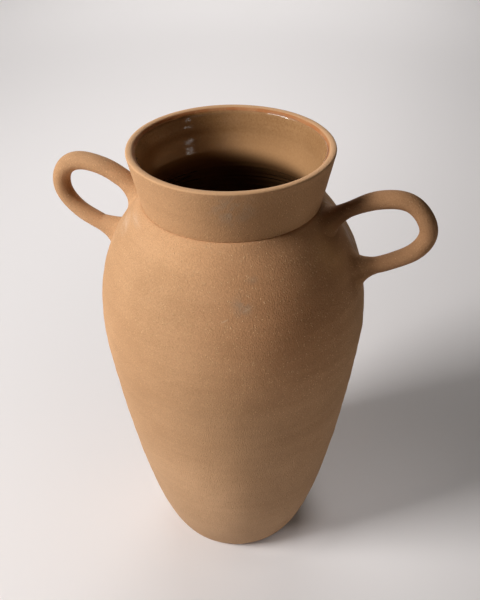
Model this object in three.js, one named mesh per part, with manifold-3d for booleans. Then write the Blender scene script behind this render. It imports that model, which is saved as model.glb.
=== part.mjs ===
// Two-handled stoneware jar. Millimetres, +Z up, origin at the middle of the flat base.
// +X points along the right handle. The body and the collar are thrown separately, the collar is
// luted on, two coil handles are set square on the shoulder, and each handle root is packed round
// with a pressed ring of soft clay. The inside carries a clear glaze up to just below the lip.
import * as THREE from 'three';
import { mergeVertices } from 'three/addons/utils/BufferGeometryUtils.js';
import Module from 'manifold-3d';

// Body
const BODY_HEIGHT = 347.5;        // base to the ledge that carries the collar
const FOOT_RADIUS = 61.7;
const FOOT_EDGE = 3;              // rounded edge of the base
const FOOT_LEAN = 33;             // degrees from upright, where the wall leaves the base
const FOOT_PULL = 51;             // how far the wall keeps that lean
const BELLY_RADIUS = 108.5;
const BELLY_DROP = 106.5;         // ledge down to the widest girth
const BELLY_PULL_DOWN = 19;
const BELLY_PULL_UP = 51;
const LEDGE_RADIUS = 70;          // outer edge of the ledge
const SHOULDER_FALL = 49;         // degrees below level, where the shoulder leaves the ledge
const SHOULDER_PULL = 40;
const WALL = 7;
const FLOOR = 9;
const FLOOR_ROUND = 16;           // inside corner between floor and wall

// Collar
const COLLAR_HEIGHT = 42.5;
const COLLAR_STEP = 1.2;          // ledge left showing outside the collar's foot
const COLLAR_FLARE = 8.6;         // rim radius beyond the collar's foot radius
const COLLAR_WALL = 6.5;
const LIP_THICKNESS = 6.2;        // a full half-round lip

// Handles: a round coil from the upper root, over the crown and the outer bend, to the lower root
const COIL = 13.8;
const UPPER_ROOT_DROP = 7.9;      // ledge down to the upper root's centre on the wall
const LOWER_ROOT_DROP = 47.5;     // ledge down to the lower root's centre on the wall
const UPPER_PULL = 53.5;          // how far the coil keeps square to the wall at the upper root
const LOWER_PULL = 22.4;          // the same at the lower root
const BEND_REACH = 46.4;          // outer bend's centre beyond the wall at the lower root
const RIGHT_BEND_DROP = -2.1;     // ledge down to the outer bend
const RIGHT_BEND_LEAN = 27.7;     // degrees that the bend leans in towards the neck
const RIGHT_BEND_PULL_UP = 18;
const RIGHT_BEND_PULL_DOWN = 29;
const LEFT_BEND_DROP = 9;
const LEFT_BEND_LEAN = 1;
const LEFT_BEND_PULL_UP = 22;
const LEFT_BEND_PULL_DOWN = 21.4;

// Pressed clay round each handle root
const ROOT_SPREAD = 9;            // beyond the coil, along the wall
const ROOT_RISE = 11;             // up the coil
const ROOT_EDGE = 0.8;            // thickness left at both thinned edges

// Glaze and joints
const GLAZE = 0.5;
const GLAZE_STOP = 4;             // lip top down to the glaze edge
const JOIN = 0.3;                 // slip joint between neighbouring pieces

const AROUND = 56;
const COIL_SIDES = 14;
const COIL_STEPS = 32;
const ROOT_AROUND = 20;

const deg = THREE.MathUtils.degToRad;
const v2 = (r, z) => new THREE.Vector2(r, z);
const wasm = await Module();
wasm.setup();

// The wall's outside line: base to belly, then belly to ledge.
const footLean = deg(FOOT_LEAN);
const shoulderFall = deg(SHOULDER_FALL);
const bellyHeight = BODY_HEIGHT - BELLY_DROP;
const lowerWall = new THREE.CubicBezierCurve(
  v2(FOOT_RADIUS, 0),
  v2(FOOT_RADIUS + FOOT_PULL * Math.sin(footLean), FOOT_PULL * Math.cos(footLean)),
  v2(BELLY_RADIUS, bellyHeight - BELLY_PULL_DOWN),
  v2(BELLY_RADIUS, bellyHeight),
);
const upperWall = new THREE.CubicBezierCurve(
  v2(BELLY_RADIUS, bellyHeight),
  v2(BELLY_RADIUS, bellyHeight + BELLY_PULL_UP),
  v2(
    LEDGE_RADIUS + SHOULDER_PULL * Math.cos(shoulderFall),
    BODY_HEIGHT - SHOULDER_PULL * Math.sin(shoulderFall),
  ),
  v2(LEDGE_RADIUS, BODY_HEIGHT),
);

// Outward direction of the wall, square to its line.
function outward(curve, t) {
  const along = curve.getTangent(t);
  return v2(along.y, -along.x);
}

// A point on the wall, sunk by depth towards the inside.
function wallPoint(curve, t, depth) {
  return curve.getPoint(t).addScaledVector(outward(curve, t), -depth);
}

// The place on a wall line, sunk by depth, that lies at height z.
function atHeight(curve, z, depth) {
  let low = 0;
  let high = 1;
  for (let i = 0; i < 50; i += 1) {
    const mid = (low + high) / 2;
    if (wallPoint(curve, mid, depth).y < z) low = mid;
    else high = mid;
  }
  return (low + high) / 2;
}

function alongWall(curve, from, to, count, depth) {
  const points = [];
  for (let i = 0; i <= count; i += 1) {
    points.push(wallPoint(curve, from + ((to - from) * i) / count, depth));
  }
  return points;
}

// Rounded corner of three points, the two ends included.
function corner(a, middle, b, count) {
  return new THREE.QuadraticBezierCurve(a, middle, b).getPoints(count);
}

function arc(centre, radius, from, to, count) {
  const points = [];
  for (let i = 0; i <= count; i += 1) {
    const a = from + ((to - from) * i) / count;
    points.push(v2(centre.x + radius * Math.cos(a), centre.y + radius * Math.sin(a)));
  }
  return points;
}

// Solid turned from a profile of radius and height.
function turned(points, segments) {
  const geometry = new THREE.LatheGeometry(points, segments);
  geometry.rotateX(Math.PI / 2);
  return geometry;
}

function solid(geometry) {
  const bare = geometry.clone();
  bare.deleteAttribute('normal');
  bare.deleteAttribute('uv');
  const merged = mergeVertices(bare, 1e-4);
  const index = merged.index.array;
  const faces = [];
  for (let i = 0; i < index.length; i += 3) {
    const [a, b, c] = [index[i], index[i + 1], index[i + 2]];
    if (a !== b && b !== c && c !== a) faces.push(a, b, c);
  }
  return new wasm.Manifold(new wasm.Mesh({
    numProp: 3,
    vertProperties: new Float32Array(merged.attributes.position.array),
    triVerts: new Uint32Array(faces),
  }));
}

function shape(body) {
  const mesh = body.getMesh();
  const geometry = new THREE.BufferGeometry();
  geometry.setAttribute('position', new THREE.BufferAttribute(mesh.vertProperties, 3));
  geometry.setIndex(new THREE.BufferAttribute(mesh.triVerts, 1));
  geometry.computeVertexNormals();
  return geometry;
}

// Inside line from the floor's middle to the ledge, sunk by depth into the hollow.
const innerFrom = atHeight(lowerWall, FLOOR + FLOOR_ROUND, WALL);
function insideLine(depth) {
  const floor = FLOOR + depth - WALL;
  const start = wallPoint(lowerWall, innerFrom, depth);
  const down = lowerWall.getTangent(innerFrom);
  const elbow = v2(start.x - (down.x * (start.y - floor)) / down.y, floor);
  return [
    v2(0, floor),
    ...corner(v2(elbow.x - FLOOR_ROUND, floor), elbow, start, 4),
    ...alongWall(lowerWall, innerFrom, 1, 6, depth).slice(1),
    ...alongWall(upperWall, 0, 1, 6, depth).slice(1),
  ];
}

// Body: base, rounded edge, wall, ledge, then down the inside to the floor.
const collarFootRadius = LEDGE_RADIUS - COLLAR_STEP;
const neckRadius = collarFootRadius - COLLAR_WALL;
const edgeAt = atHeight(lowerWall, FOOT_EDGE, 0);
const bodyProfile = [
  v2(0, 0),
  ...corner(v2(FOOT_RADIUS - FOOT_EDGE, 0), v2(FOOT_RADIUS, 0), wallPoint(lowerWall, edgeAt, 0), 3),
  ...alongWall(lowerWall, edgeAt, 1, 8, 0).slice(1),
  ...alongWall(upperWall, 0, 1, 8, 0).slice(1),
  v2(neckRadius, BODY_HEIGHT),
  ...insideLine(WALL).reverse(),
];

// Collar: straight flaring wall, half-round lip, straight inside wall, flat foot on the ledge.
const height = BODY_HEIGHT + COLLAR_HEIGHT;
const lip = LIP_THICKNESS / 2;
const lipCentre = v2(collarFootRadius + COLLAR_FLARE - lip, height - lip);
function tangentLean(foot, side) {
  const reach = lipCentre.clone().sub(foot);
  return Math.atan2(reach.x, reach.y) + side * Math.asin(lip / reach.length());
}
const collarSeat = BODY_HEIGHT + JOIN;
const outerFoot = v2(collarFootRadius, collarSeat);
const innerFoot = v2(neckRadius, collarSeat);
const outerLean = tangentLean(outerFoot, 1);
const innerLean = tangentLean(innerFoot, -1);
const collarProfile = [
  innerFoot,
  outerFoot,
  ...arc(lipCentre, lip, -outerLean, Math.PI - innerLean, 7),
  innerFoot,
];

// Glaze lining: one skin over the collar's inside, the neck, the wall and the floor.
function glazeLine(lift) {
  const side = v2(-Math.cos(innerLean), Math.sin(innerLean));
  const run = v2(Math.sin(innerLean), Math.cos(innerLean));
  const foot = innerFoot.clone().addScaledVector(side, lift);
  const stop = height - GLAZE_STOP;
  const top = foot.clone().addScaledVector(run, (stop - foot.y) / run.y);
  return [...insideLine(WALL + lift), foot, top];
}
const glazeProfile = [...glazeLine(JOIN), ...glazeLine(JOIN + GLAZE).reverse()];

// The outside of body and collar, grown by the joint, trims what is luted onto them.
const wallTrim = solid(turned([
  v2(0, -JOIN),
  v2(FOOT_RADIUS, -JOIN),
  ...alongWall(lowerWall, 0, 1, 8, -JOIN).slice(1),
  ...alongWall(upperWall, 0, 1, 8, -JOIN).slice(1),
  v2(collarFootRadius + JOIN, BODY_HEIGHT + JOIN),
  v2(lipCentre.x + lip + JOIN, lipCentre.y),
  v2(0, lipCentre.y),
], AROUND));

// Centre of a handle root on the wall, and the direction square to the wall there.
function root(drop) {
  const t = atHeight(upperWall, BODY_HEIGHT - drop, 0);
  return { at: upperWall.getPoint(t), out: outward(upperWall, t) };
}
const upperRoot = root(UPPER_ROOT_DROP);
const lowerRoot = root(LOWER_ROOT_DROP);

// Centre line of a loop in the plane of the handles, running a little way into the wall.
function loop(drop, lean, pullUp, pullDown) {
  const flat = (p) => new THREE.Vector3(p.x, 0, p.y);
  const out = (end, d) => flat(end.at.clone().addScaledVector(end.out, d));
  const bend = v2(lowerRoot.at.x + BEND_REACH, BODY_HEIGHT - drop);
  const up = v2(-Math.sin(deg(lean)), Math.cos(deg(lean)));
  const path = new THREE.CurvePath();
  path.add(new THREE.LineCurve3(out(upperRoot, -WALL / 2), flat(upperRoot.at)));
  path.add(new THREE.CubicBezierCurve3(
    flat(upperRoot.at),
    out(upperRoot, UPPER_PULL),
    flat(bend.clone().addScaledVector(up, pullUp)),
    flat(bend),
  ));
  path.add(new THREE.CubicBezierCurve3(
    flat(bend),
    flat(bend.clone().addScaledVector(up, -pullDown)),
    out(lowerRoot, LOWER_PULL),
    flat(lowerRoot.at),
  ));
  path.add(new THREE.LineCurve3(flat(lowerRoot.at), out(lowerRoot, -WALL / 2)));
  return path;
}

function coil(path, radius) {
  const section = new THREE.Shape().absarc(0, 0, radius, 0, 2 * Math.PI);
  return new THREE.ExtrudeGeometry(section, {
    extrudePath: path,
    steps: COIL_STEPS,
    curveSegments: COIL_SIDES / 2,
    bevelEnabled: false,
  });
}

// Pressed ring: a hollow-sided cone round the coil, square on the wall at the root.
function pressedRing(end) {
  const spread = COIL / 2 + ROOT_SPREAD;
  const neck = COIL / 2 + ROOT_EDGE;
  const profile = [
    v2(0, -WALL / 2),
    v2(spread, -WALL / 2),
    ...corner(v2(spread, ROOT_EDGE), v2(neck, ROOT_EDGE), v2(neck, ROOT_RISE), 5),
    v2(0, ROOT_RISE),
  ];
  const geometry = turned(profile, ROOT_AROUND);
  geometry.rotateY(Math.PI / 2 - Math.atan2(end.out.y, end.out.x));
  geometry.translate(end.at.x, 0, end.at.y);
  return solid(geometry);
}

const clay = { color: 0xb08f66, roughness: 0.85, metalness: 0 };
const clayPale = { color: 0xb8986f, roughness: 0.88, metalness: 0 };
const glazed = { color: 0x7a6241, roughness: 0.15, metalness: 0 };

function piece(name, geometry, look) {
  const mesh = new THREE.Mesh(geometry, new THREE.MeshStandardMaterial(look));
  mesh.name = name;
  return mesh;
}

// A handle with its two pressed rings, made on +X and turned about the jar's axis.
function handle(side, turn, path) {
  const group = new THREE.Group();
  const bar = solid(coil(path, COIL / 2)).subtract(wallTrim);
  const room = solid(coil(path, COIL / 2 + JOIN)).add(wallTrim);
  group.add(piece(`handle_${side}`, shape(bar), clay));
  group.add(piece(`root_${side}_upper`, shape(pressedRing(upperRoot).subtract(room)), clayPale));
  group.add(piece(`root_${side}_lower`, shape(pressedRing(lowerRoot).subtract(room)), clayPale));
  group.rotation.z = turn;
  return group;
}

const jar = new THREE.Group();
jar.add(piece('body', shape(solid(turned(bodyProfile, AROUND))), clay));
jar.add(piece('collar', shape(solid(turned(collarProfile, AROUND))), clay));
jar.add(piece('inner_glaze', shape(solid(turned(glazeProfile, AROUND))), glazed));
const rightLoop = loop(RIGHT_BEND_DROP, RIGHT_BEND_LEAN, RIGHT_BEND_PULL_UP, RIGHT_BEND_PULL_DOWN);
const leftLoop = loop(LEFT_BEND_DROP, LEFT_BEND_LEAN, LEFT_BEND_PULL_UP, LEFT_BEND_PULL_DOWN);
jar.add(handle('right', 0, rightLoop));
jar.add(handle('left', Math.PI, leftLoop));

export default jar;
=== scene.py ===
import math

import bpy
import numpy as np
from mathutils import Matrix, Vector


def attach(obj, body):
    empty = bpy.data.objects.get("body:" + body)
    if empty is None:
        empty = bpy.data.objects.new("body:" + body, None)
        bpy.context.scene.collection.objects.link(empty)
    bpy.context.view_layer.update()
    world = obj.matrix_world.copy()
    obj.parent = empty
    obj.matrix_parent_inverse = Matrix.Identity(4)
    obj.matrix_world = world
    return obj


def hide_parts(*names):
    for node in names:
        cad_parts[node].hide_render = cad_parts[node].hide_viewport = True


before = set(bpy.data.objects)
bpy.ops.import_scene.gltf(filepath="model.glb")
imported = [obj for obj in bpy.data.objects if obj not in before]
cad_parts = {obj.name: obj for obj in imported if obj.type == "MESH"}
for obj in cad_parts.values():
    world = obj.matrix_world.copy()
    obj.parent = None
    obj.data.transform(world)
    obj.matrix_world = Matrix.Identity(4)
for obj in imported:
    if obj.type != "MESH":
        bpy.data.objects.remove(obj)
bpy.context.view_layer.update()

# Sizes in metres, the same as the solids'
MM = 0.001
BODY_HEIGHT = 347.5 * MM          # base to the ledge that carries the collar
FOOT_RADIUS = 61.7 * MM
FOOT_EDGE = 3.0 * MM              # rounded edge of the base
FOOT_LEAN = math.radians(33)      # from upright, where the wall leaves the base
FOOT_PULL = 51 * MM               # how far the wall keeps that lean
BELLY_RADIUS = 108.5 * MM
BELLY_DROP = 106.5 * MM           # ledge down to the widest girth
BELLY_HEIGHT = BODY_HEIGHT - BELLY_DROP
BELLY_PULL_DOWN = 19 * MM
BELLY_PULL_UP = 51 * MM
LEDGE_RADIUS = 70.0 * MM
SHOULDER_FALL = math.radians(49)  # below level, where the shoulder leaves the ledge
SHOULDER_PULL = 40 * MM
WALL = 7.0 * MM
BOTTOM = 9.0 * MM                 # thickness under the hollow
BOTTOM_ROUND = 16.0 * MM          # inside corner between bottom and wall
COLLAR_HEIGHT = 42.5 * MM
COLLAR_STEP = 1.2 * MM            # ledge left showing outside the collar's foot
COLLAR_WALL = 6.5 * MM
COLLAR_FLARE = 8.6 * MM
COLLAR_FOOT = LEDGE_RADIUS - COLLAR_STEP
NECK_RADIUS = COLLAR_FOOT - COLLAR_WALL
RIM_RADIUS = COLLAR_FOOT + COLLAR_FLARE
HEIGHT = BODY_HEIGHT + COLLAR_HEIGHT

# Sizes of both handles' loops
UPPER_ROOT_DROP = 7.9 * MM        # ledge down to the upper root's centre on the wall
LOWER_ROOT_DROP = 47.5 * MM       # the same for the lower root
UPPER_PULL = 53.5 * MM            # how far the coil keeps square to the wall at the upper root
LOWER_PULL = 22.4 * MM            # the same at the lower root
BEND_REACH = 46.4 * MM            # outer bend's centre beyond the wall at the lower root
ROOT_RISE = 16 * MM               # length of coil that each flared root takes up

# Finer sizes of the thrown and glazed surfaces
HAND_RIDGE = 0.09 * MM            # outside, from the turning hand
FOOT_FADE = (8 * MM, 50 * MM)     # heights between which the ridges come in
LEDGE_FADE = (BODY_HEIGHT - 4 * MM, BODY_HEIGHT - 30 * MM)
COIL_RIDGE = 0.10 * MM            # on the coils, from the rolling hand
LEDGE_START = 0.986               # share of the upper wall line where the ledge's edge rounds off
LEDGE_ROUND = 0.3 * MM
LEDGE_LIFT = 0.1 * MM
LEDGE_TUCK = 1.5 * MM             # ledge carried on under the collar
COLLAR_SEAT = 0.6 * MM            # collar's foot sunk into the ledge
LIP_START = 0.955                 # share of the collar's flare where the lip rounds off
THROAT_FLARE = 0.22               # outwards for each step up
THROAT_SWELL = 0.55 * MM
THROAT_WAVE = 30.0 * MM
THROAT_MIDDLE = BODY_HEIGHT + 26.5 * MM
THROAT_FOOT = BODY_HEIGHT + 10.5 * MM
THROAT_CROWDING = 1.7             # how much closer the rows lie towards the glaze's edge
NECK_START = BODY_HEIGHT - 11.5 * MM
GLAZE = 0.5 * MM
GLAZE_TOP = HEIGHT - 2.6 * MM
BEAD = 0.25 * MM                  # swelling of the glaze behind its edge
BEAD_FALL = 1.3 * MM              # height over which the edge rounds off
BEAD_SPREAD = 2.5 * MM
BEAD_END = 20 * MM                # no bead further below the edge
WAVER_REACH = 8 * MM              # height over which the edge's waver fades out below
FAR_SIDE = math.radians(108)      # where the bead is fullest
RING_PITCH = 6.6 * MM             # throwing rings inside, and the finer ones among them
FINE_RING_PITCH = 4.3 * MM
THROAT_RING = 0.004 * MM
HOLLOW_RING = 0.28 * MM
NECK_FADE = (BODY_HEIGHT, BODY_HEIGHT - 14 * MM)
BOTTOM_FADE = (BOTTOM + 4 * MM, BOTTOM + BOTTOM_ROUND)
EDGE_FADE = (GLAZE_TOP - 3 * MM, GLAZE_TOP - 12 * MM)

# Waves of hand-made surfaces: share, length to a radian, and how often each climbs round the piece
HAND_WAVES = ((1.0, 3.7 * MM, 1), (0.8, 2.1 * MM, 2), (1.0, 9 * MM, -1))
COIL_WAVES = ((1.0, 7 * MM, 2), (1.0, 4.3 * MM, -1), (0.8, 11 * MM, 1))

# Waves round the axis: height, number and phase
LIP_WAVES = ((0.12 * MM, 3, 0.7), (0.084 * MM, 7, 0.0))
GLAZE_EDGE_WAVES = (
    (0.25 * MM, 5, 1.0),
    (0.20 * MM, 11, 0.0),
    (0.15 * MM, 23, 2.0),
    (0.08 * MM, 41, 0.0),
    (0.06 * MM, 67, 1.0),
)

# Counts of rings and of points round them
AROUND_CLAY = 288
AROUND_GLAZE = 240
AROUND_COIL = 80
BASE_ROWS = 14
LOWER_ROWS = 120
UPPER_ROWS = 84
COLLAR_ROWS = 44
HOLLOW_ROWS = 70
CORNER_ROWS = 8
INNER_CORNER_ROWS = 12
NECK_ROWS = 28
COIL_ROWS = 170
FLARE_ROWS = 24
POLE = 0.4 * MM                   # smallest ring, round a pole's middle point
FINE = 400                        # steps of a wall line in which a height is looked up

# The wall's outside line: base to belly, then belly to ledge
LOWER_WALL = np.array([
    (FOOT_RADIUS, 0.0),
    (FOOT_RADIUS + FOOT_PULL * math.sin(FOOT_LEAN), FOOT_PULL * math.cos(FOOT_LEAN)),
    (BELLY_RADIUS, BELLY_HEIGHT - BELLY_PULL_DOWN),
    (BELLY_RADIUS, BELLY_HEIGHT),
])
UPPER_WALL = np.array([
    (BELLY_RADIUS, BELLY_HEIGHT),
    (BELLY_RADIUS, BELLY_HEIGHT + BELLY_PULL_UP),
    (
        LEDGE_RADIUS + SHOULDER_PULL * math.cos(SHOULDER_FALL),
        BODY_HEIGHT - SHOULDER_PULL * math.sin(SHOULDER_FALL),
    ),
    (LEDGE_RADIUS, BODY_HEIGHT),
])


# Lines and waves
def curve(p, t):
    """Cubic curve: its four points weighted by (1-t)^3, 3t(1-t)^2, 3t^2(1-t) and t^3."""
    t = np.asarray(t, float)[..., None]
    return (1 - t) ** 3 * p[0] + 3 * t * (1 - t) ** 2 * p[1] + 3 * t * t * (1 - t) * p[2] + t ** 3 * p[3]


def heading(p, t):
    """Unit direction of a cubic curve: the weighted differences of its points, divided by their length."""
    t = np.asarray(t, float)[..., None]
    d = (1 - t) ** 2 * (p[1] - p[0]) + 2 * t * (1 - t) * (p[2] - p[1]) + t * t * (p[3] - p[2])
    return d / np.linalg.norm(d, axis=-1, keepdims=True)


def outward(p, t):
    """Direction square to a wall line, away from the hollow: the heading turned a quarter turn clockwise."""
    d = heading(p, t)
    return np.stack([d[..., 1], -d[..., 0]], -1)


def sunk(p, t):
    """Inside of the wall: a point of the wall line, moved inwards by the wall's thickness."""
    return curve(p, t) - WALL * outward(p, t)


def rounded(a, corner, b, count):
    """Corner between two lines: three points weighted by (1-t)^2, 2t(1-t) and t^2."""
    t = np.linspace(0, 1, count)[:, None]
    return (1 - t) ** 2 * np.array(a) + 2 * t * (1 - t) * np.array(corner) + t * t * np.array(b)


def meeting(a, way_a, b, way_b):
    """Point where two lines cross: both lines' equations solved together."""
    reach = np.linalg.solve(np.stack([way_a, -np.asarray(way_b)], -1), np.asarray(b) - np.asarray(a))
    return np.asarray(a) + reach[0] * np.asarray(way_a)


def ease(x, low, high):
    """Soft step from 0 at low to 1 at high: 3u^2 - 2u^3 of the share u of the way."""
    u = np.clip((np.asarray(x) - low) / (high - low), 0, 1)
    return u * u * (3 - 2 * u)


def climbing(along, angle, waves):
    """Sum of sine waves along a piece that climb round it: share * sin(along / length + climb * angle)."""
    return sum(share * np.sin(along / length + climb * angle) for share, length, climb in waves)


def wavering(angle, waves):
    """Sum of sine waves round the axis: height * sin(number * angle + phase)."""
    return sum(height * np.sin(number * angle + phase) for height, number, phase in waves)


WALL_T = np.linspace(0, 1, FINE)
WALL_LINE = np.vstack([curve(LOWER_WALL, WALL_T), curve(UPPER_WALL, WALL_T)[1:]])


def wall_radius(z):
    """Outside radius of the jar at a height: the wall line up to the ledge, then the collar's flare."""
    flare = COLLAR_FOOT + (np.asarray(z) - BODY_HEIGHT) * (RIM_RADIUS - COLLAR_FOOT) / COLLAR_HEIGHT
    return np.where(np.asarray(z) > BODY_HEIGHT, flare, np.interp(z, WALL_LINE[:, 1], WALL_LINE[:, 0]))


# Meshes
def place(name, points, faces, node_names, slot, material):
    """A smooth-shaded mesh from points and faces, riding on the jar in place of the named solids."""
    mesh = bpy.data.meshes.new(name)
    mesh.from_pydata(points.tolist(), [], faces)
    mesh.update()
    mesh.polygons.foreach_set("use_smooth", np.ones(len(mesh.polygons), bool))
    piece = bpy.data.objects.new(name, mesh)
    bpy.context.scene.collection.objects.link(piece)
    mesh.materials.append(material)
    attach(piece, "root")
    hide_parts(*node_names)


def sheet_faces(rows, columns, loop):
    """Four-sided faces of a grid whose rows are rings of points; loop joins the last ring to the first."""
    i, j = np.meshgrid(np.arange(rows if loop else rows - 1), np.arange(columns), indexing="ij")
    n = (i + 1) % rows
    k = (j + 1) % columns
    quads = np.stack([i * columns + j, i * columns + k, n * columns + k, n * columns + j], -1)
    return quads.reshape(-1, 4).tolist()


def capped(grid):
    """Rings of points closed at both ends by a fan of triangles round a middle point, its ring's mean."""
    rows, columns = grid.shape[:2]
    points = np.vstack([grid.reshape(-1, 3), grid[0].mean(0), grid[-1].mean(0)])
    j = np.arange(columns)
    k = (j + 1) % columns
    last = (rows - 1) * columns
    first_fan = np.stack([np.full(columns, rows * columns), k, j], -1).tolist()
    last_fan = np.stack([np.full(columns, rows * columns + 1), last + j, last + k], -1).tolist()
    return points, sheet_faces(rows, columns, False) + first_fan + last_fan


def turned(profile, around, shift=None):
    """Profile of radius and height turned once round the axis, to an array of rings; shift adds a small
    change in radius that depends on height and angle."""
    angle = np.linspace(0, 2 * np.pi, around, endpoint=False)
    radius = profile[:, :1] + np.zeros((1, around))
    if shift is not None:
        radius = radius + shift(profile[:, 1:], angle)
    return np.stack([radius * np.cos(angle), radius * np.sin(angle), profile[:, 1:] + 0 * radius], -1)


# Materials, from short calls
def opaque(colour):
    """A colour of three parts with full alpha; a socket is given back as it is."""
    return colour if hasattr(colour, "is_linked") else (*colour, 1.0)


class Looks:
    """A material whose nodes are made by short calls, each giving back the socket it made."""

    def __init__(self, name):
        self.material = bpy.data.materials.new(name)
        self.material.use_nodes = True
        self.nodes = self.material.node_tree.nodes
        self.links = self.material.node_tree.links
        self.shader = self.nodes["Principled BSDF"]
        self.place = self.nodes.new("ShaderNodeTexCoord").outputs["Object"]

    def feed(self, socket, value):
        """Link a socket, or set a plain value."""
        if hasattr(value, "is_linked"):
            self.links.new(value, socket)
        else:
            socket.default_value = value

    def finish(self, name, value):
        """Link or set one of the shader's own sockets."""
        self.feed(self.shader.inputs[name], value)

    def stretched(self, coordinates, stretch):
        """Coordinates multiplied along each axis."""
        node = self.nodes.new("ShaderNodeMapping")
        self.feed(node.inputs["Vector"], coordinates)
        node.inputs["Scale"].default_value = stretch
        return node.outputs["Vector"]

    def noise(self, scale, detail=3.0, rough=0.5, coordinates=None):
        """Soft noise, of so many lumps to a metre."""
        node = self.nodes.new("ShaderNodeTexNoise")
        self.feed(node.inputs["Vector"], coordinates or self.place)
        node.inputs["Scale"].default_value = scale
        node.inputs["Detail"].default_value = detail
        node.inputs["Roughness"].default_value = rough
        return node.outputs["Fac"]

    def bands(self, detail, rough, across, upright):
        """Turned bands: noise of few lumps to a metre across the jar and many up it."""
        return self.noise(1.0, detail, rough, self.stretched(self.place, (across, across, upright)))

    def grains(self, scale):
        """Scattered grains, of so many to a metre: the distance from the nearest, and its own chance."""
        node = self.nodes.new("ShaderNodeTexVoronoi")
        self.feed(node.inputs["Vector"], self.place)
        node.inputs["Scale"].default_value = scale
        return node.outputs["Distance"], node.outputs["Color"]

    def math(self, operation, a, b=0.0):
        """One sum of two values, by its name in Blender."""
        node = self.nodes.new("ShaderNodeMath")
        node.operation = operation
        self.feed(node.inputs[0], a)
        self.feed(node.inputs[1], b)
        return node.outputs["Value"]

    def total(self, *terms):
        """Sum of values, each given with its weight."""
        sum_so_far = None
        for value, weight in terms:
            part = self.math("MULTIPLY", value, weight)
            sum_so_far = part if sum_so_far is None else self.math("ADD", sum_so_far, part)
        return sum_so_far

    def both(self, a, b):
        """Two shares multiplied."""
        return self.math("MULTIPLY", a, b)

    def span(self, value, low, high, to_low=0.0, to_high=1.0):
        """Soft step from to_low where the value is low to to_high where it is high."""
        node = self.nodes.new("ShaderNodeMapRange")
        node.interpolation_type = "SMOOTHSTEP"
        names = ("Value", "From Min", "From Max", "To Min", "To Max")
        for name, v in zip(names, (value, low, high, to_low, to_high)):
            self.feed(node.inputs[name], v)
        return node.outputs["Result"]

    def mix(self, share, a, b, blend="MIX"):
        """Colour a with a share of colour b laid over it."""
        node = self.nodes.new("ShaderNodeMix")
        node.data_type = "RGBA"
        node.blend_type = blend
        self.feed(node.inputs["Factor"], share)
        self.feed(node.inputs[6], opaque(a))
        self.feed(node.inputs[7], opaque(b))
        return node.outputs[2]

    def axis(self, name):
        """One of the three coordinates."""
        node = self.nodes.new("ShaderNodeSeparateXYZ")
        self.feed(node.inputs[0], self.place)
        return node.outputs[name]

    def from_axis(self):
        """Distance from the jar's axis."""
        x_square = self.math("POWER", self.axis("X"), 2.0)
        y_square = self.math("POWER", self.axis("Y"), 2.0)
        return self.math("SQRT", self.total((x_square, 1.0), (y_square, 1.0)))

    def around(self, point, reach, turn=(0, 0, 0)):
        """Coordinates from a point, divided by the reach along each axis, the axes turned."""
        node = self.nodes.new("ShaderNodeMapping")
        node.vector_type = "TEXTURE"
        self.feed(node.inputs["Vector"], self.place)
        node.inputs["Location"].default_value = point
        node.inputs["Rotation"].default_value = turn
        node.inputs["Scale"].default_value = reach
        return node.outputs["Vector"]

    def spot(self, coordinates):
        """Soft spot: 1 at the coordinates' middle, 0 at a length of 1 from it."""
        size = self.nodes.new("ShaderNodeVectorMath")
        size.operation = "LENGTH"
        self.feed(size.inputs[0], coordinates)
        return self.span(size.outputs["Value"], 0.0, 1.0, 1.0, 0.0)

    def near(self, point, reach, turn=(0, 0, 0)):
        """Soft spot round a point, 0 at the reach along each axis."""
        return self.spot(self.around(point, reach, turn))

    def stroke(self, start, end, width, streaks=None):
        """Soft stroke along a line, 0 at its ends and at the width from it, split lengthwise into streaks."""
        start = Vector(start)
        end = Vector(end)
        along = end - start
        turn = along.to_track_quat("Z", "Y").to_euler()
        local = self.around((start + end) / 2, (width, width, along.length / 2), turn)
        if streaks is None:
            return self.spot(local)
        hairs = self.noise(1.0, 3.0, 0.5, self.stretched(local, (streaks, streaks, 1.0)))
        return self.both(self.spot(local), self.span(hairs, 0.36, 0.62, 0.15, 1.0))

    def bump(self, height, strength, distance):
        """Fine relief of the surface."""
        node = self.nodes.new("ShaderNodeBump")
        node.inputs["Strength"].default_value = strength
        node.inputs["Distance"].default_value = distance
        self.feed(node.inputs["Height"], height)
        self.finish("Normal", node.outputs["Normal"])


# Clay, in dark and light tones
TAN = ((0.455, 0.248, 0.117), (0.60, 0.342, 0.176))
TOASTED = ((0.425, 0.226, 0.102), (0.565, 0.315, 0.156))
PALE_GROG = (0.86, 0.56, 0.31)
DARK_PINHOLE = (0.10, 0.05, 0.025)
GREY_SMUDGE = (0.38, 0.275, 0.19)
PALE_SMEAR = (0.72, 0.55, 0.42)
PALE_SCRATCH = (0.74, 0.55, 0.38)
WIPED_LIP = (0.73, 0.422, 0.22)
BURNT_LIP = (0.45, 0.165, 0.055)

# Lumps, grains and holes to a metre
BLOTCHES = 16.0
SAND = 900.0
GROG = 450.0
GROG_CLUSTERS = 55.0
PINHOLES = 95.0
SMUDGE_CLOUDS = 150.0
BURNT_PATCHES = 70.0

GROG_SIZE = 0.22                  # largest grain's radius, as a share of the space that each has
GROG_SLOPE = 0.16                 # how far in from its edge a grain still rises
GROG_BLUR = 0.02
GROG_COVER = 0.52                 # how much of a grain's colour shows through the slip
GRITTY_COVER = 0.95
GRITTY_ODDS = 0.12
PINHOLE_SIZE = 0.06
PINHOLE_SLOPE = 0.02
SMEAR_STREAKS = 5.0
SCRATCH_WIDTH = 0.65 * MM
CLAY_RELIEF = 0.45 * MM

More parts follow.
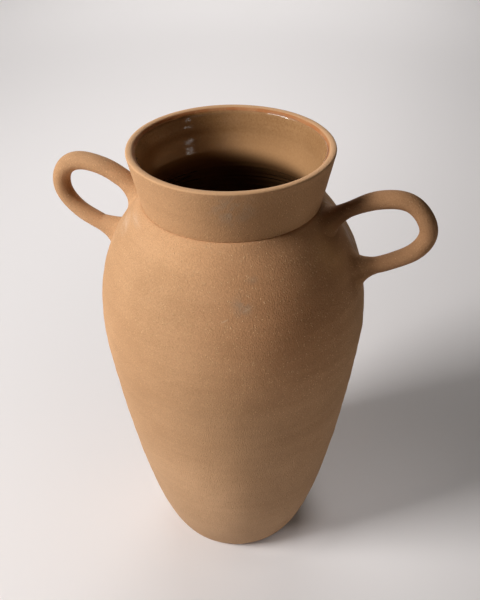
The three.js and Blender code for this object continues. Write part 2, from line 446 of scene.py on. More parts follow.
# A cone close to the shoulder: its radius at the base's level, less a share of the height
SHOULDER_CONE = 272.5 * MM
SHOULDER_SLOPE = 0.575
COIL_TINT_START = 5 * MM
COIL_TINT_END = 18 * MM


def with_grog(look, colour, gritty):
    """Pale grog: grains of chance sizes in clusters, bared and more of them in a gritty patch; gives the
    colour and the grains' height."""
    distance, chance = look.grains(GROG)
    odds = [(chance, 1.0), (look.noise(GROG_CLUSTERS, 2.0), 1.0)]
    cover = GROG_COVER
    if gritty:
        patch = look.near(*gritty)
        odds.append((patch, GRITTY_ODDS))
        cover = look.span(patch, 0.0, 0.5, GROG_COVER, GRITTY_COVER)
    size = look.span(look.total(*odds), 0.75, 1.15, 0.0, GROG_SIZE)
    inward = look.math("SUBTRACT", size, distance)
    shows = look.both(look.span(inward, -GROG_BLUR, GROG_BLUR), cover)
    return look.mix(shows, colour, PALE_GROG), look.span(inward, 0.0, GROG_SLOPE)


def with_pinholes(look, colour):
    """A few dark pinholes of chance sizes; gives the colour and the holes' depth."""
    distance, chance = look.grains(PINHOLES)
    size = look.span(chance, 0.78, 0.95, 0.0, PINHOLE_SIZE)
    hole = look.span(look.math("SUBTRACT", size, distance), 0.0, PINHOLE_SLOPE)
    return look.mix(look.both(hole, 0.6), colour, DARK_PINHOLE), hole


def with_coil_tint(look, colour, tint):
    """A coil's tint, which comes in with distance from the shoulder's cone; on the right coil it is painted
    shade.
    """
    out = look.total((look.from_axis(), 1.0), (look.axis("Z"), SHOULDER_SLOPE))
    away = look.span(out, SHOULDER_CONE + COIL_TINT_START, SHOULDER_CONE + COIL_TINT_END)
    return look.mix(away, colour, tint, "MULTIPLY")


def with_marks(look, colour, smudges, smears, scratches):
    """Grey smudges broken up like cloud, pale wiped smears in streaks, and pale scratches."""
    cloud = look.span(look.noise(SMUDGE_CLOUDS, 4.0, 0.6), 0.38, 0.62)
    for point, reach, share in smudges:
        patch = look.both(look.near(point, reach), cloud)
        colour = look.mix(look.both(patch, share), colour, GREY_SMUDGE)
    for start, end, width, share in smears:
        wiped = look.stroke(start, end, width, SMEAR_STREAKS)
        colour = look.mix(look.both(wiped, share), colour, PALE_SMEAR)
    for start, end in scratches:
        line = look.stroke(start, end, SCRATCH_WIDTH)
        colour = look.mix(look.both(line, 0.55), colour, PALE_SCRATCH)
    return colour


def with_lip(look, colour):
    """The lip's paler wiped top, and the burnt line on its inner side."""
    z = look.axis("Z")
    top = look.span(z, HEIGHT - 1.6 * MM, HEIGHT - 0.4 * MM)
    colour = look.mix(look.both(top, 0.75), colour, WIPED_LIP)
    inner = look.span(look.from_axis(), RIM_RADIUS - 4.8 * MM, RIM_RADIUS - 5.5 * MM)
    high = look.span(z, HEIGHT - 6 * MM, HEIGHT - 5 * MM)
    patches = look.span(look.noise(BURNT_PATCHES), 0.36, 0.62, 0.55, 1.0)
    burnt = look.both(look.both(inner, high), patches)
    return look.mix(look.both(burnt, 0.9), colour, BURNT_LIP)


def stoneware(
    name, tones, tints=(), smudges=(), smears=(), scratches=(), lip=False, coil=None, gritty=None,
):
    """Bare sanded clay: soft blotches, turned bands and sand between a dark and a light tone, broad tints of
    painted light and shade, grog and pinholes, then a coil's tint, painted shade on the right coil, hand
    marks and the lip's edge where they are asked for."""
    look = Looks(name)
    blotch = look.noise(BLOTCHES, 3.0, 0.55)
    bands = look.bands(4.0, 0.6, 9, 150)
    sand = look.noise(SAND, 1.0, 0.6)
    tone = look.total((blotch, 0.9), (bands, 0.4), (sand, 1.0))
    colour = look.mix(look.span(tone, 0.74, 1.56), *tones)
    for point, reach, tint in tints:
        colour = look.mix(look.near(point, reach), colour, tint, "MULTIPLY")
    colour, grog = with_grog(look, colour, gritty)
    colour, pinhole = with_pinholes(look, colour)
    if coil:
        colour = with_coil_tint(look, colour, coil)
    if smudges or smears or scratches:
        colour = with_marks(look, colour, smudges, smears, scratches)
    if lip:
        colour = with_lip(look, colour)
    look.finish("Base Color", colour)
    look.finish("Roughness", look.span(sand, 0.3, 0.7, 0.78, 0.95))
    look.finish("Specular IOR Level", 0.25)
    relief = look.total((sand, 0.85), (grog, 1.0), (bands, 0.2), (pinhole, -0.9))
    look.bump(relief, 1.0, CLAY_RELIEF)
    return look.material


# Broad tints of painted light and shade: middle, reach along each axis, and what the clay's colour is
# multiplied by
# Painted shade: the half-shaded front right made warmer and more saturated
PAINTED_HALF_SHADE = ((0.065, -0.075, 0.305), (0.10, 0.10, 0.12), (1.02, 0.89, 0.82))
# Painted light: greyer towards the foot, as if the floor's light were reflected there
PAINTED_FLOOR_BOUNCE = ((0.0, 0.0, -0.05), (0.30, 0.30, 0.34), (0.98, 1.10, 1.28))
# Painted light: paler where the wall turns away from the lamp, under the neck and low on the wall
PAINTED_LIGHT_NECK = ((-0.010, -0.075, 0.341), (0.05, 0.05, 0.04), (1.14, 1.14, 1.14))
PAINTED_LIGHT_LOW_WALL = ((0.008, -0.092, 0.100), (0.06, 0.06, 0.13), (1.16, 1.16, 1.16))
# Painted shade: darker round the right coil's roots, where they meet the wall
PAINTED_SHADE_UPPER_ROOT = ((0.087, -0.008, 0.341), (0.036, 0.030, 0.034), (0.41, 0.34, 0.26))
PAINTED_SHADE_LOWER_ROOT = ((0.108, -0.010, 0.297), (0.022, 0.020, 0.022), (0.66, 0.62, 0.56))
# Painted shadow: the collar's soft shadow on the shoulder by the seam
PAINTED_SHADOW_UNDER_COLLAR = ((0.042, -0.058, 0.347), (0.026, 0.022, 0.014), (0.84, 0.83, 0.82))
# Painted light: paler on the shaded wall under the right upper root
PAINTED_LIGHT_UNDER_ROOT = ((0.083, -0.022, 0.326), (0.028, 0.030, 0.026), (1.30, 1.36, 1.30))
# Painted shade: darker core on the left loop's inner side
PAINTED_SHADE_LOOP = ((-0.1385, -0.003, 0.334), (0.011, 0.015, 0.018), (0.66, 0.63, 0.60))
# Painted shade on the collar's front right, and painted rim light at the collar's right end
PAINTED_SHADE_COLLAR = ((0.042, -0.060, 0.364), (0.066, 0.066, 0.05), (0.85, 0.83, 0.80))
PAINTED_RIM_LIGHT_COLLAR = ((0.074, 0.004, 0.368), (0.035, 0.035, 0.03), (1.2, 1.2, 1.25))
PAINTED_LIGHT_AND_SHADE_TINTS = [
    PAINTED_HALF_SHADE, PAINTED_FLOOR_BOUNCE, PAINTED_LIGHT_NECK, PAINTED_LIGHT_LOW_WALL,
    PAINTED_SHADE_UPPER_ROOT, PAINTED_SHADE_LOWER_ROOT, PAINTED_SHADOW_UNDER_COLLAR, PAINTED_LIGHT_UNDER_ROOT,
]
# Painted shade: the right coil darker all over, as it lies in shade; the left coil nearly as it is
RIGHT_COIL_PAINTED_SHADE = (0.69, 0.64, 0.60)
LEFT_COIL_TINT = (0.97, 0.96, 0.96)

# Hand marks: smudges by middle, reach and share, smears by ends, width and share, scratches by ends
GRITTY_SHOULDER = ((0.070, -0.085, 0.285), (0.085, 0.085, 0.14))
BODY_SMUDGES = [
    ((0.0360, -0.0875, 0.3115), (0.012, 0.011, 0.013), 0.55),
    ((0.0400, -0.0760, 0.3271), (0.007, 0.007, 0.004), 0.3),
]
COLLAR_SMUDGES = [((0.024, -0.070, 0.376), (0.022, 0.022, 0.020), 0.6)]
SHOULDER_SMEARS = [
    ((0.079, 0.016, 0.336), (0.102, 0.018, 0.296), 0.013, 0.9),
    ((0.067, 0.010, 0.3500), (0.078, 0.024, 0.334), 0.008, 0.8),
    ((-0.0780, -0.0200, 0.3360), (-0.0680, -0.0520, 0.3280), 0.010, 0.45),
    ((-0.0700, -0.0300, 0.3410), (-0.0500, -0.0580, 0.3390), 0.006, 0.35),
]
SHOULDER_SCRATCHES = [
    ((0.0434, -0.0842, 0.3119), (0.0350, -0.0905, 0.3072)),
    ((0.0290, -0.0937, 0.3047), (0.0218, -0.0974, 0.3002)),
]
body_clay = stoneware(
    "sanded_tan_clay", TAN, PAINTED_LIGHT_AND_SHADE_TINTS, BODY_SMUDGES, SHOULDER_SMEARS, SHOULDER_SCRATCHES,
    gritty=GRITTY_SHOULDER,
)
collar_clay = stoneware(
    "toasted_collar_clay", TOASTED, [PAINTED_SHADE_COLLAR, PAINTED_RIM_LIGHT_COLLAR], COLLAR_SMUDGES, lip=True,
)
shaded_right_clay = stoneware("right_handle_painted_shade_clay", TAN, PAINTED_LIGHT_AND_SHADE_TINTS, coil=RIGHT_COIL_PAINTED_SHADE)
left_clay = stoneware("tan_handle_clay", TAN, PAINTED_LIGHT_AND_SHADE_TINTS + [PAINTED_SHADE_LOOP], coil=LEFT_COIL_TINT)

# Glaze
GLAZE_TONES = ((0.31, 0.155, 0.062), (0.43, 0.235, 0.105))
GLAZE_FLECK = (0.20, 0.085, 0.03)
GLAZE_TOASTED_EDGE = (0.36, 0.135, 0.045)
# Painted light: the glaze paler low in the throat, where the lamp lights the far wall
GLAZE_PAINTED_LIGHT = (0.47, 0.262, 0.122)
# Painted shade, nearly black deep in the hollow
GLAZE_PAINTED_SHADE = (0.085, 0.036, 0.012)
# Painted shade on the upper left of the throat, in the lip's shadow
PAINTED_SHADE_THROAT_LEFT = ((-0.051, 0.049, 0.382), (0.055, 0.055, 0.05), (0.62, 0.57, 0.48))
SHADE_LEAN = (0.095, 0.032)        # how the painted shade's level falls along x and y, following the shadow inside
SHADE_START = BODY_HEIGHT + 14 * MM
SHADE_END = BODY_HEIGHT - 2 * MM
GLAZE_GRAIN = 620.0               # grains, flecks, blotches and ripples to a metre
GLAZE_FLECKS = 520.0
GLAZE_BLOTCHES = 30.0
GLAZE_RIPPLES = 260.0
GLAZE_SHEEN = 0.5
GLAZE_THIN_SHEEN = 0.03
GLAZE_RELIEF = 0.12 * MM


def glaze_colour(look, z, blotch):
    """Brown clay under glaze: bands, blotches and grain between two tones, flecks, a toasted edge, painted
    light paler low in the throat, painted shade in a patch on the upper left, and painted shade nearly black
    deep in the hollow."""
    bands = look.bands(3.0, 0.55, 6, 240)
    grain = look.noise(GLAZE_GRAIN, 2.0, 0.6)
    tone = look.span(look.total((bands, 0.3), (blotch, 0.4), (grain, 0.6)), 0.4, 0.9)
    colour = look.mix(tone, *GLAZE_TONES)
    fleck = look.span(look.noise(GLAZE_FLECKS, 2.0, 0.5), 0.6, 0.72)
    colour = look.mix(look.both(fleck, 0.35), colour, GLAZE_FLECK)
    edge = look.span(z, GLAZE_TOP - 0.6 * MM, GLAZE_TOP)
    colour = look.mix(look.both(edge, 0.8), colour, GLAZE_TOASTED_EDGE)
    # Painted light: paler low in the throat
    low = look.span(z, HEIGHT - 3 * MM, BODY_HEIGHT + 8 * MM, 0.0, 0.6)
    colour = look.mix(low, colour, GLAZE_PAINTED_LIGHT)
    # Painted shade on the upper left of the throat
    point, reach, tint = PAINTED_SHADE_THROAT_LEFT
    colour = look.mix(look.near(point, reach), colour, tint, "MULTIPLY")
    # Painted shade deep in the hollow, its level tilted to follow the shadow inside
    level = look.total((z, 1.0), (look.axis("X"), SHADE_LEAN[0]), (look.axis("Y"), SHADE_LEAN[1]))
    deep = look.span(level, SHADE_START, SHADE_END)
    return look.mix(look.both(deep, 0.88), colour, GLAZE_PAINTED_SHADE)


def clear_glaze(name):
    """Clear gloss over brown clay: dry at its very edge, thin and dull behind the edge on the left, and
    streaked by the turning hand."""
    look = Looks(name)
    z = look.axis("Z")
    blotch = look.noise(GLAZE_BLOTCHES)
    look.finish("Base Color", glaze_colour(look, z, blotch))
    dry = look.span(z, GLAZE_TOP - 0.8 * MM, GLAZE_TOP - 0.2 * MM)
    gloss = look.span(blotch, 0.3, 0.7, 0.04, 0.10)
    look.finish("Roughness", look.total((gloss, 1.0), (dry, 0.4)))
    look.finish("IOR", 1.5)
    upper = look.span(z, GLAZE_TOP - 2.5 * MM, GLAZE_TOP - 1.0 * MM)
    thin = look.both(upper, look.span(look.axis("X"), -20 * MM, -50 * MM))
    look.finish("Specular IOR Level", look.span(thin, 0.0, 1.0, GLAZE_SHEEN, GLAZE_THIN_SHEEN))
    streaks = look.bands(2.0, 0.5, 12, 700)
    ripples = look.noise(GLAZE_RIPPLES)
    look.bump(look.total((ripples, 0.15), (streaks, 0.5)), 0.3, GLAZE_RELIEF)
    return look.material


glaze = clear_glaze("clear_glaze_on_clay")


# The hollow's line, from the bottom's middle to the glaze's edge
def throat(z):
    """Inside radius of the collar: a straight flare less a sine swell of about one wave up the throat."""
    swell = THROAT_SWELL * np.sin(2 * np.pi * (z - THROAT_MIDDLE) / THROAT_WAVE)
    return NECK_RADIUS + THROAT_FLARE * (z - BODY_HEIGHT) - swell


def hollow_line(rows):
    """Inside of the clay: flat bottom, rounded corner, the wall line sunk by the wall's thickness, a rounded
    neck whose corner is where the shoulder's and the throat's lines meet, then the throat's own line, its
    rows closer together towards the glaze's edge."""
    t = np.linspace(0, 1, FINE)
    first = np.interp(BOTTOM + BOTTOM_ROUND, sunk(LOWER_WALL, t)[:, 1], t)
    wall_start = sunk(LOWER_WALL, first)
    elbow = meeting(wall_start, heading(LOWER_WALL, first), (0.0, BOTTOM), (1.0, 0.0))
    bottom_end = np.array([elbow[0] - BOTTOM_ROUND, BOTTOM])
    bottom_line = np.stack([np.linspace(POLE, bottom_end[0], rows // 3), np.full(rows // 3, BOTTOM)], -1)
    last = np.interp(NECK_START, sunk(UPPER_WALL, t)[:, 1], t)
    neck_foot = sunk(UPPER_WALL, last)
    step = 0.1 * MM
    throat_foot = np.array([throat(THROAT_FOOT), THROAT_FOOT])
    throat_way = np.array([throat(THROAT_FOOT + step) - throat_foot[0], step])
    neck = meeting(neck_foot, heading(UPPER_WALL, last), throat_foot, throat_way)
    z = GLAZE_TOP - (GLAZE_TOP - THROAT_FOOT) * (1 - np.linspace(0, 1, rows)) ** THROAT_CROWDING
    return np.vstack([
        bottom_line,
        rounded(bottom_end, elbow, wall_start, INNER_CORNER_ROWS)[1:],
        sunk(LOWER_WALL, np.linspace(first, 1, rows))[1:],
        sunk(UPPER_WALL, np.linspace(0, last, rows))[1:],
        rounded(neck_foot, neck, throat_foot, NECK_ROWS)[1:],
        np.stack([throat(z), z], -1)[1:],
    ])


hollow = hollow_line(HOLLOW_ROWS)


# Body
def ledge_line(start):
    """Top of the shoulder: a corner curve from the wall line over the ledge, on under the collar's foot."""
    top = BODY_HEIGHT + LEDGE_LIFT
    corner = (LEDGE_RADIUS - LEDGE_ROUND, top)
    over = rounded(start, corner, (COLLAR_FOOT - LEDGE_LIFT, top), CORNER_ROWS)
    return np.vstack([over[1:], [(COLLAR_FOOT - LEDGE_TUCK, BODY_HEIGHT + LEDGE_LIFT / 2)]])


def body_line():
    """Outside of the body: flat base, rounded edge, the two curves of the wall line, and the ledge."""
    t = np.linspace(0, 1, LOWER_ROWS)
    edge_t = np.interp(FOOT_EDGE, curve(LOWER_WALL, t)[:, 1], t)
    lower = curve(LOWER_WALL, np.linspace(edge_t, 1, LOWER_ROWS))
    upper = curve(UPPER_WALL, np.linspace(0, LEDGE_START, UPPER_ROWS))
    flat = FOOT_RADIUS - FOOT_EDGE
    base = np.stack([np.linspace(POLE, flat, BASE_ROWS), np.zeros(BASE_ROWS)], -1)
    edge = rounded((flat, 0), (FOOT_RADIUS, 0), lower[0], CORNER_ROWS)
    return np.vstack([base, edge[1:], lower[1:], upper[1:], ledge_line(upper[-1])])


def thrown(z, angle):
    """Faint ridges of the turning hand: three sine waves in height that climb slowly round the jar, a
    quarter of a millimetre high at most, faded out at the foot and the ledge."""
    return HAND_RIDGE * ease(z, *FOOT_FADE) * ease(z, *LEDGE_FADE) * climbing(z, angle, HAND_WAVES)


# Behind the glaze, every third row of the hollow is enough
body_hollow = hollow[hollow[:, 1] < BODY_HEIGHT - 1.0 * MM][::-3]
body_rings = np.concatenate([turned(body_line(), AROUND_CLAY, thrown), turned(body_hollow, AROUND_CLAY)])
place("jar_body", *capped(body_rings), ["body"], "clay", body_clay)


# Collar
def at_foot(out, up):
    """Point by the collar's foot: millimetres out from its radius and up from the ledge."""
    return np.array([COLLAR_FOOT + out * MM, BODY_HEIGHT + up * MM])


def at_lip(inward, down):
    """Point by the lip: millimetres in from the rim and down from the top."""
    return np.array([RIM_RADIUS - inward * MM, HEIGHT - down * MM])


def collar_line():
    """Section of the collar: a foot sunk into the ledge, an undercut corner, the straight flare, a lip of
    three corner curves with a nearly flat top, and the throat's line down to the foot again."""
    inside = hollow[hollow[:, 1] > BODY_HEIGHT - COLLAR_SEAT][::-1]
    inner_foot = (inside[-1, 0] + COLLAR_SEAT, BODY_HEIGHT - COLLAR_SEAT)
    outer_foot = (COLLAR_FOOT - 0.5 * MM, BODY_HEIGHT - COLLAR_SEAT)
    flare_start = at_foot(0.1, 0.6)
    lip_corner = at_lip(-0.1, 0.2)
    flare_end = flare_start + LIP_START * (lip_corner - flare_start)
    top_start = at_lip(1.8, 0.1)
    top_end = at_lip(4.3, 0.3)
    rise = np.linspace(0, 1, COLLAR_ROWS)[:, None]
    return np.vstack([
        [inner_foot, outer_foot],
        rounded(at_foot(-0.3, 0), at_foot(0, 0.2), flare_start, CORNER_ROWS // 2),
        (flare_start + rise * (flare_end - flare_start))[1:],
        rounded(flare_end, lip_corner, top_start, CORNER_ROWS + 1)[1:],
        rounded(top_start, at_lip(2.9, -0.1), top_end, CORNER_ROWS)[1:],
        rounded(top_end, at_lip(5.7, 0.7), (throat(GLAZE_TOP), GLAZE_TOP), INNER_CORNER_ROWS)[1:],
        inside[1:],
    ])


def lip_waver(z, angle):
    """Slight hand-made waver of the collar, two slow sine waves round it, growing towards the lip."""
    return ease(z, BODY_HEIGHT, HEIGHT) * wavering(angle, LIP_WAVES)


collar_rings = turned(collar_line(), AROUND_CLAY, lip_waver)
collar_faces = sheet_faces(len(collar_rings), AROUND_CLAY, True)
place("jar_collar", collar_rings.reshape(-1, 3), collar_faces, ["collar"], "clay", collar_clay)


# Glaze lining
def throwing_rings(z, angle):
    """Throwing rings inside: two sine waves in height of uneven pitch that climb round the hollow, hardly
    there in the throat, about three tenths of a millimetre high below the neck, and none at the bottom or the
    glaze's edge."""
    uneven = 0.9 * np.sin(z / (11 * MM) + 0.6)
    coarse = np.sin(2 * np.pi * z / RING_PITCH + angle + uneven)
    fine = np.sin(2 * np.pi * z / FINE_RING_PITCH + 2 * angle - 2 * uneven)
    high = THROAT_RING + HOLLOW_RING * ease(z, *NECK_FADE)
    fade = ease(z, *BOTTOM_FADE) * ease(z, *EDGE_FADE)
    return high * fade * (0.65 * coarse + 0.45 * fine)


def bead_swell(angle):
    """Height of the bead round the lip: the eighth power of the cosine of half the angle from the far side,
    with a small share all round, in uneven lumps."""
    lumps = 1 + 0.5 * np.sin(7 * angle + 0.4) * np.sin(19 * angle)
    return BEAD * (0.2 + np.cos((angle - FAR_SIDE) / 2) ** 8) * lumps


def glaze_skin(line, around):
    """The hollow's line lifted by the glaze's thickness, with rings; near its edge the glaze swells to a
    bead with a bell-shaped section and rounds off like a quarter ellipse, and the edge wavers up and down
    round the lip."""
    angle = np.linspace(0, 2 * np.pi, around, endpoint=False)
    way = np.gradient(line, axis=0)
    way = way / np.linalg.norm(way, axis=1, keepdims=True)
    lifted = line + GLAZE * np.stack([-way[:, 1], way[:, 0]], -1)
    waver = wavering(angle, GLAZE_EDGE_WAVES)
    z = lifted[:, 1:] + waver * ease(lifted[:, 1:], GLAZE_TOP - WAVER_REACH, GLAZE_TOP)
    edge = GLAZE_TOP + waver
    share = np.clip((z - edge + BEAD_FALL) / BEAD_FALL, 0, 1)
    bell = np.exp(-((edge - BEAD_FALL - z) / BEAD_SPREAD) ** 2) * (z > edge - BEAD_END)
    film = (GLAZE + bead_swell(angle) * bell) * np.sqrt(1 - share ** 2) - GLAZE
    radius = lifted[:, :1] - film + throwing_rings(z, angle)
    return np.stack([radius * np.cos(angle), radius * np.sin(angle), z], -1)


# The side that lies on the clay needs only every fourth row
clay_side = turned(hollow[::4], AROUND_GLAZE)
glaze_side = glaze_skin(hollow, AROUND_GLAZE)[::-1]
place("glaze_lining", *capped(np.concatenate([clay_side, glaze_side])), ["inner_glaze"], "glaze", glaze)

# Handles
COIL_ANGLE = np.linspace(0, 2 * np.pi, AROUND_COIL, endpoint=False)
ROOT_STEPS = 2000                 # steps of the wall line in which a root's height is looked up
LOOP_STEPS = 600                  # steps of each half of a loop in which its length is measured
PINCH_AT = 18 * MM                # the upper root's neck, along the coil
PINCH_REACH = 12 * MM
CORNER_SHARE = 0.15               # how far out a root's corner curve turns
ROOT_SUNK = 0.3 * MM              # root's thin edge pressed into the wall
SLIDE_BACK = -8 * MM
SLIDE_ON = 16 * MM
HALVINGS = 40
SIDE_POWER = 1.5                  # how closely a root's outer and inner spread keep to their sides


def root(drop):
    """Place on the wall line that lies drop below the ledge, and the direction square to it."""
    t = np.linspace(0, 1, ROOT_STEPS)
    at = np.interp(BODY_HEIGHT - drop, curve(UPPER_WALL, t)[:, 1], t)
    return curve(UPPER_WALL, at), outward(UPPER_WALL, at)


def onto_wall(points, way):
    """Points slid along a direction until their distance from the axis is the jar's radius at their height,
    found by halving the stretch that they may slide, for all points at once."""
    low = np.full(points.shape[:-1], SLIDE_BACK)
    high = np.full(points.shape[:-1], SLIDE_ON)
    for _ in range(HALVINGS):
        mid = (low + high) / 2
        p = points - mid[..., None] * way
        out = np.hypot(p[..., 0], p[..., 1]) > wall_radius(p[..., 2])
        low = np.where(out, mid, low)
        high = np.where(out, high, mid)
    return points - ((low + high) / 2)[..., None] * way


def coil_rings(centre, way, radius):
    """Circles square to the coil's line: the centre plus the radius times the cosine, square to the line in
    the loop's plane, and the radius times the sine, out of that plane."""
    x = centre[..., 0, None] - radius * np.cos(COIL_ANGLE) * way[..., 1, None]
    z = centre[..., 1, None] + radius * np.cos(COIL_ANGLE) * way[..., 0, None]
    return np.stack([x, radius * np.sin(COIL_ANGLE) + 0 * x, z], -1)


def flared_root(end, out, way, coil_ring, radius, outer, inner, flank, inner_corner):
    """Root of a handle: corner curves from a wide ring on the wall to the coil's nearest ring. The wide ring
    spreads by its own length on the loop's outer side, its inner side and its flanks, blended by powers of
    the cosine."""
    outside = np.maximum(np.cos(COIL_ANGLE), 0) ** SIDE_POWER
    inside = np.maximum(-np.cos(COIL_ANGLE), 0) ** SIDE_POWER
    spread = flank + (outer - flank) * outside + (inner - flank) * inside
    turn_share = CORNER_SHARE + (inner_corner - CORNER_SHARE) * inside
    slide = np.array([out[0], 0, out[1]])
    corner = onto_wall(coil_rings(end, way, radius + turn_share * spread), slide)
    edge = onto_wall(coil_rings(end, way, radius + spread), slide) - ROOT_SUNK * slide
    w = np.linspace(0, 1, FLARE_ROWS)[:-1, None, None]
    return (1 - w) ** 2 * edge + 2 * w * (1 - w) * corner + w * w * coil_ring


def handle_rings(bend_drop, bend_lean, pull_up, pull_down, thick, pinch, upper_spread, lower_spread):
    """A coil carried along a loop of two cubic curves, thinning evenly from upper to lower root and pinched
    to a neck by the upper one with a bell-shaped dip, a little uneven from the rolling hand, its ends flared
    onto the wall."""
    upper, upper_out = root(UPPER_ROOT_DROP)
    lower, lower_out = root(LOWER_ROOT_DROP)
    bend = np.array([lower[0] + BEND_REACH, BODY_HEIGHT - bend_drop])
    up = np.array([-math.sin(bend_lean), math.cos(bend_lean)])
    over = np.array([upper, upper + UPPER_PULL * upper_out, bend + pull_up * up, bend])
    under = np.array([bend, bend - pull_down * up, lower + LOWER_PULL * lower_out, lower])
    t = np.linspace(0, 1, LOOP_STEPS)
    line = np.vstack([curve(over, t), curve(under, t)[1:]])
    ways = np.vstack([heading(over, t), heading(under, t)[1:]])
    length = np.concatenate([[0], np.cumsum(np.linalg.norm(np.diff(line, axis=0), axis=1))])
    s = np.linspace(ROOT_RISE, length[-1] - ROOT_RISE, COIL_ROWS)
    centre = np.stack([np.interp(s, length, line[:, k]) for k in (0, 1)], -1)
    way = np.stack([np.interp(s, length, ways[:, k]) for k in (0, 1)], -1)
    way /= np.linalg.norm(way, axis=1, keepdims=True)
    rolled = COIL_RIDGE * climbing(s[:, None], COIL_ANGLE, COIL_WAVES)
    necked = 1 - pinch * np.exp(-((s - PINCH_AT) / PINCH_REACH) ** 2)
    radius = necked * np.interp(s, (0, length[-1]), thick)
    tube = coil_rings(centre, way, radius[:, None] + rolled)
    top = flared_root(upper, upper_out, upper_out, tube[0], thick[0], **upper_spread)
    bottom = flared_root(lower, lower_out, -lower_out, tube[-1], thick[1], **lower_spread)
    return np.concatenate([top, tube, bottom[::-1]])


# Each loop: the outer bend's drop below the ledge, its lean to the neck and its pulls, and the coil's radii
RIGHT_LOOP = {
    "bend_drop": -2.1 * MM,
    "bend_lean": math.radians(27.7),
    "pull_up": 18 * MM,
    "pull_down": 29 * MM,
    "thick": (6.95 * MM, 6.3 * MM),
    "pinch": 0.15,
    "upper_spread": {"outer": 4 * MM, "inner": 6 * MM, "flank": 15 * MM, "inner_corner": 0.05},
    "lower_spread": {"outer": 19 * MM, "inner": 14 * MM, "flank": 8 * MM, "inner_corner": 0.15},
}
LEFT_LOOP = {
    "bend_drop": 9.0 * MM,
    "bend_lean": math.radians(1.0),
    "pull_up": 22 * MM,
    "pull_down": 21.4 * MM,
    "thick": (7.45 * MM, 6.75 * MM),
    "pinch": 0.0,
    "upper_spread": {"outer": 4 * MM, "inner": 14 * MM, "flank": 7 * MM, "inner_corner": 0.15},
    "lower_spread": {"outer": 15 * MM, "inner": 7 * MM, "flank": 3 * MM, "inner_corner": 0.8},
}

# The left loop is turned half round the axis, and the rings run backwards, so that the faces point outwards
for side, facing, loop, clay in (("right", 1, RIGHT_LOOP, shaded_right_clay), ("left", -1, LEFT_LOOP, left_clay)):
    rings = handle_rings(**loop)[::-1] * (facing, facing, 1)
    solids = [f"handle_{side}", f"root_{side}_upper", f"root_{side}_lower"]
    place(f"coil_handle_{side}", *capped(rings), solids, "clay", clay)


# Floor
FLOOR_HALF = 4.0
FLOOR_COLOUR = (0.79, 0.753, 0.742, 1)
GLOW_COLOUR = (1.0, 0.935, 0.925, 1)

# Pools of painted light, a glow of the floor's own: middle, reach along each axis and turn
BACK_POOL = ((-0.26, 0.75, 0.0), (0.85, 0.85, 1.0), (0, 0, 0))
SHADOW_POOL = ((0.13, -0.005, 0.0), (0.26, 0.17, 1.0), (0, 0, math.radians(42)))
FOOT_POOL = ((0.068, -0.038, 0.0), (0.058, 0.022, 1.0), (0, 0, math.radians(32)))

# Where the painted light in the jar's shadow, to the left and far off comes in, and how strong each pool is
OFF_FOOT = (62 * MM, 100 * MM)
LEFT_SIDE = (0.22, -0.10)
FAR_OFF = (1.9, 3.8)
BACK_GLOW = 0.155
SHADOW_GLOW = 0.09
FOOT_GLOW = 0.12
LEFT_GLOW = 0.035
FAR_GLOW = 0.11


def shown(tree, low, high):
    """High for rays that show the background, straight or by gloss or glass, low for those that light the
    jar."""
    path = tree.nodes.new("ShaderNodeLightPath").outputs
    either = path["Is Camera Ray"]
    for ray in ("Is Glossy Ray", "Is Transmission Ray"):
        node = tree.nodes.new("ShaderNodeMath")
        node.operation = "MAXIMUM"
        tree.links.new(either, node.inputs[0])
        tree.links.new(path[ray], node.inputs[1])
        either = node.outputs[0]
    level = tree.nodes.new("ShaderNodeMapRange")
    tree.links.new(either, level.inputs["Value"])
    level.inputs["To Min"].default_value = low
    level.inputs["To Max"].default_value = high
    return level.outputs["Result"]


def pale_floor(name):
    """Pale floor with soft pools of painted light, a glow of its own: behind the jar, in the jar's shadow, by
    its foot, to the left and far off."""
    look = Looks(name)
    look.finish("Base Color", FLOOR_COLOUR)
    look.finish("Roughness", 0.8)
    look.finish("Emission Color", GLOW_COLOUR)
    away = look.from_axis()
    glow = look.total(
        (look.near(*BACK_POOL), BACK_GLOW),
        (look.both(look.near(*SHADOW_POOL), look.span(away, *OFF_FOOT)), SHADOW_GLOW),
        (look.near(*FOOT_POOL), FOOT_GLOW),
        (look.span(look.axis("X"), *LEFT_SIDE), LEFT_GLOW),
        (look.span(away, *FAR_OFF), FAR_GLOW),
    )
    look.finish("Emission Strength", look.both(shown(look.material.node_tree, 0.0, 1.0), glow))
    return look.material


floor_mesh = bpy.data.meshes.new("floor")
floor_corners = [(x * FLOOR_HALF, y * FLOOR_HALF, 0) for x, y in ((-1, -1), (1, -1), (1, 1), (-1, 1))]
floor_mesh.from_pydata(floor_corners, [], [(0, 1, 2, 3)])
floor = bpy.data.objects.new("floor", floor_mesh)
bpy.context.scene.collection.objects.link(floor)
floor_mesh.materials.append(pale_floor("pale_floor"))

# Camera
CAMERA_TURN = math.radians(18.5)  # camera's side, round the axis from the front
CAMERA_DISTANCE = 0.510197        # from the axis
CAMERA_HEIGHT = 0.6211
PITCH = math.radians(36.138)      # below level
YAW = math.radians(0.608)
ROLL = math.radians(0.667)


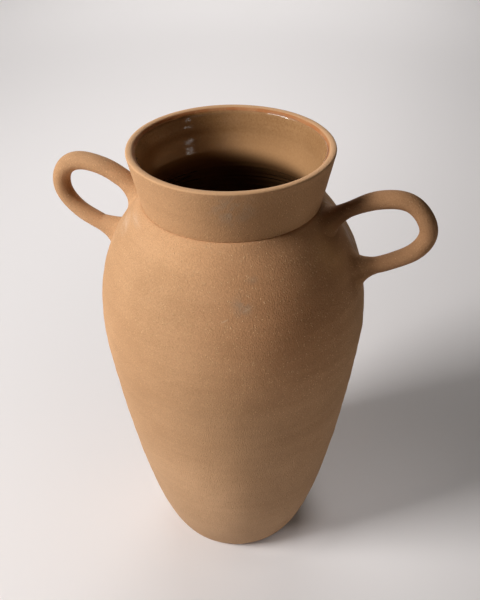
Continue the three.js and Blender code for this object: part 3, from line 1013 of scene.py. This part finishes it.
def camera_frame():
    """Right, up and back directions of the camera, and its place, turned from its side to the jar's frame."""
    ahead = np.array([math.sin(YAW) * math.cos(PITCH), math.cos(YAW) * math.cos(PITCH), -math.sin(PITCH)])
    right = np.array([math.cos(YAW), -math.sin(YAW), 0.0])
    down = np.cross(ahead, right)
    across = math.cos(ROLL) * right + math.sin(ROLL) * down
    below = -math.sin(ROLL) * right + math.cos(ROLL) * down
    place_at = np.array([0, -CAMERA_DISTANCE, CAMERA_HEIGHT])
    c, s = math.cos(CAMERA_TURN), math.sin(CAMERA_TURN)
    spin = np.array([[c, -s, 0], [s, c, 0], [0, 0, 1]])
    columns = spin @ np.stack([across, -below, -ahead, place_at], 1)
    return np.vstack([columns, [0, 0, 0, 1]])


camera_data = bpy.data.cameras.new("camera")
camera_data.lens = 45.0
camera_data.sensor_width = 36.0
camera_data.clip_start = 0.01
camera = bpy.data.objects.new("camera", camera_data)
camera.matrix_world = Matrix(camera_frame().tolist())
bpy.context.scene.collection.objects.link(camera)
bpy.context.scene.camera = camera

# Lights
WHITE = (1.0, 1.0, 1.0)
WARM = (1.0, 0.88, 0.70)
JAR_MIDDLE = np.array([0.0, 0.0, 0.2])


def soft_light(name, around, rise, distance, size, power, colour):
    """Square softbox that faces the jar's middle from a distance, around degrees to the camera's right and
    rise degrees up."""
    turn = CAMERA_TURN + math.radians(around)
    rise = math.radians(rise)
    back = np.array([math.cos(rise) * math.sin(turn), -math.cos(rise) * math.cos(turn), math.sin(rise)])
    right = np.cross((0, 0, 1), back)
    right = right / np.linalg.norm(right)
    up = np.cross(back, right)
    columns = np.stack([right, up, back, JAR_MIDDLE + distance * back], 1)
    data = bpy.data.lights.new(name, "AREA")
    data.shape = "RECTANGLE"
    data.size = size
    data.size_y = size
    data.energy = power
    data.color = colour
    lamp = bpy.data.objects.new(name, data)
    lamp.matrix_world = Matrix(np.vstack([columns, [0, 0, 0, 1]]).tolist())
    bpy.context.scene.collection.objects.link(lamp)


soft_light("key", around=-71, rise=34, distance=1.9, size=0.62, power=40.5, colour=WHITE)
soft_light("fill", around=49, rise=22, distance=1.6, size=1.0, power=1.25, colour=WARM)
soft_light("back", around=180, rise=26, distance=2.3, size=1.7, power=22.5, colour=WHITE)

# Studio
STUDIO_LIGHT = 0.01               # strength where it lights the jar
STUDIO_SHOWN = 0.2                # strength where it is seen
world = bpy.data.worlds.new("studio")
world.use_nodes = True
sky = world.node_tree.nodes["Background"]
sky.inputs["Color"].default_value = (0.8, 0.78, 0.77, 1)
world.node_tree.links.new(shown(world.node_tree, STUDIO_LIGHT, STUDIO_SHOWN), sky.inputs["Strength"])
bpy.context.scene.world = world
bpy.context.scene.view_settings.view_transform = "Standard"
